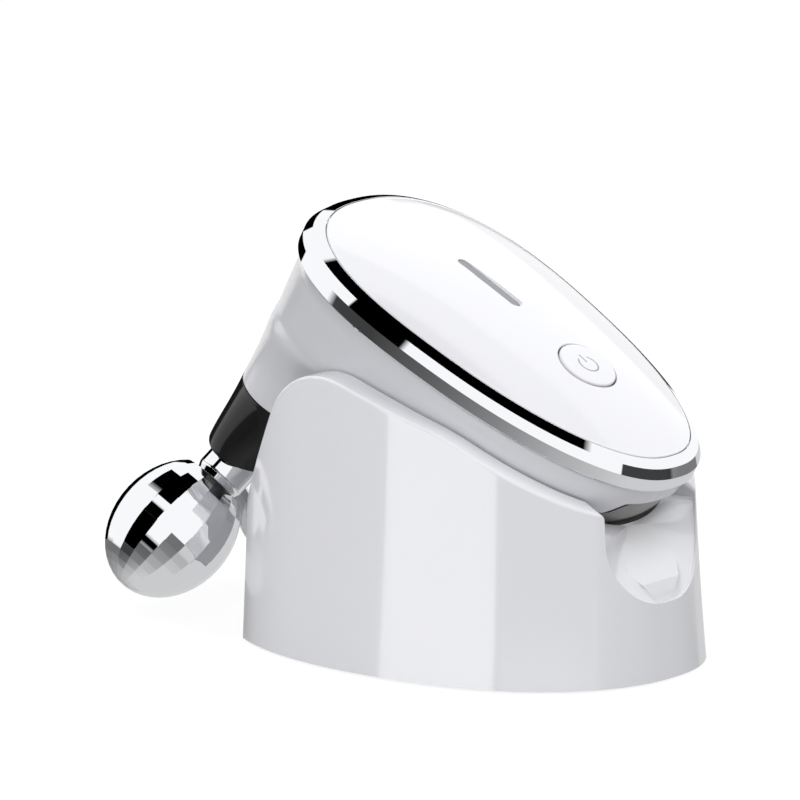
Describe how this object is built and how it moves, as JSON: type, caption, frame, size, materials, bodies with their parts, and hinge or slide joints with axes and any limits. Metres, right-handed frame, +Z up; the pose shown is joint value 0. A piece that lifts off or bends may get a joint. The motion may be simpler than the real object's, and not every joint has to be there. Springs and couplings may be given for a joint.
{
  "type": "facial toning device",
  "caption": "Handheld facial toner with an oval head, power button and faceted roller balls on a V-shaped yoke, resting nose down in an oval charging dock with a thumb scoop.",
  "frame": {"origin": "middle of the dock on the face that it stands on, the underside of its non-slip pad", "axes": "+X towards the handset's nose and the dock's thumb scoop, +Y across to the charging inlet's side, +Z up"},
  "size_m": [0.1268, 0.0726, 0.0891],
  "materials": {
    "dock_white": "glossy moulded white",
    "cradle_white": "satin moulded white",
    "plate_grey": "lightly textured moulding",
    "pad_grey": "matt non-slip rubber",
    "steel": "turned steel",
    "circuit_green": "solder-masked board",
    "moulded_black": "fine matt moulding",
    "contact_gold": "plated contact",
    "body_white": "glossy moulded white",
    "belly_grey": "satin grey-brown moulding",
    "ring_chrome": "bright plated ring",
    "cover_white": "glossy white",
    "light_grey": "translucent grey light window",
    "cell_foil": "foil-wrapped cell",
    "collar_black": "satin black moulding",
    "ball_chrome": "mirror plated facets",
    "stem_chrome": "mirror plated stems",
    "bush_nylon": "self-lubricating moulding"
  },
  "bodies": {
    "dock": {"dock_shell": "dock_white", "cradle": "cradle_white", "base_plate": "plate_grey", "foot_pad": "pad_grey", "base_screws": "steel", "charge_board": "circuit_green", "pin_block": "moulded_black", "inlet_socket": "steel"},
    "near_pin": {"pin_near": "contact_gold"},
    "far_pin": {"pin_far": "contact_gold"},
    "handset": {"body_shell": "body_white", "belly_cover": "belly_grey", "trim_ring": "ring_chrome", "top_cover": "cover_white", "light_window": "light_grey", "main_board": "circuit_green", "board_screws": "steel", "tact_switch": "moulded_black", "battery": "cell_foil", "charge_contacts": "contact_gold", "neck_collar": "collar_black", "yoke": "stem_chrome", "axle_near": "steel", "axle_far": "steel", "axle_clips": "steel", "spacer_near": "stem_chrome", "spacer_far": "stem_chrome"},
    "near_ball": {"ball_near": "ball_chrome", "bush_near": "bush_nylon"},
    "far_ball": {"ball_far": "ball_chrome", "bush_far": "bush_nylon"},
    "button": {"power_button": "cover_white"}
  },
  "joints": [
    {"name": "handset_lift", "type": "slide", "parent": "dock", "child": "handset", "axis": [0.4787, 0, 0.878], "range_m": [0, 0.07]},
    {"name": "near_ball_spin", "type": "hinge", "parent": "handset", "child": "near_ball", "pos_m": [-0.06101, -0.0198, 0.01952], "axis": [-0.3782, -0.6129, -0.6937], "continuous": true},
    {"name": "far_ball_spin", "type": "hinge", "parent": "handset", "child": "far_ball", "pos_m": [-0.06101, 0.0198, 0.01952], "axis": [-0.3782, 0.6129, -0.6937], "continuous": true},
    {"name": "button_press", "type": "slide", "parent": "handset", "child": "button", "axis": [-0.5463, 0, -0.8376], "range_m": [0, 0.0006], "stiffness_N_per_m": 1500},
    {"name": "near_pin_press", "type": "slide", "parent": "dock", "child": "near_pin", "axis": [0.4787, 0, 0.878], "range_m": [-0.0008, 0], "stiffness_N_per_m": 300},
    {"name": "far_pin_press", "type": "slide", "parent": "dock", "child": "far_pin", "axis": [0.4787, 0, 0.878], "range_m": [-0.0008, 0], "stiffness_N_per_m": 300}
  ]
}
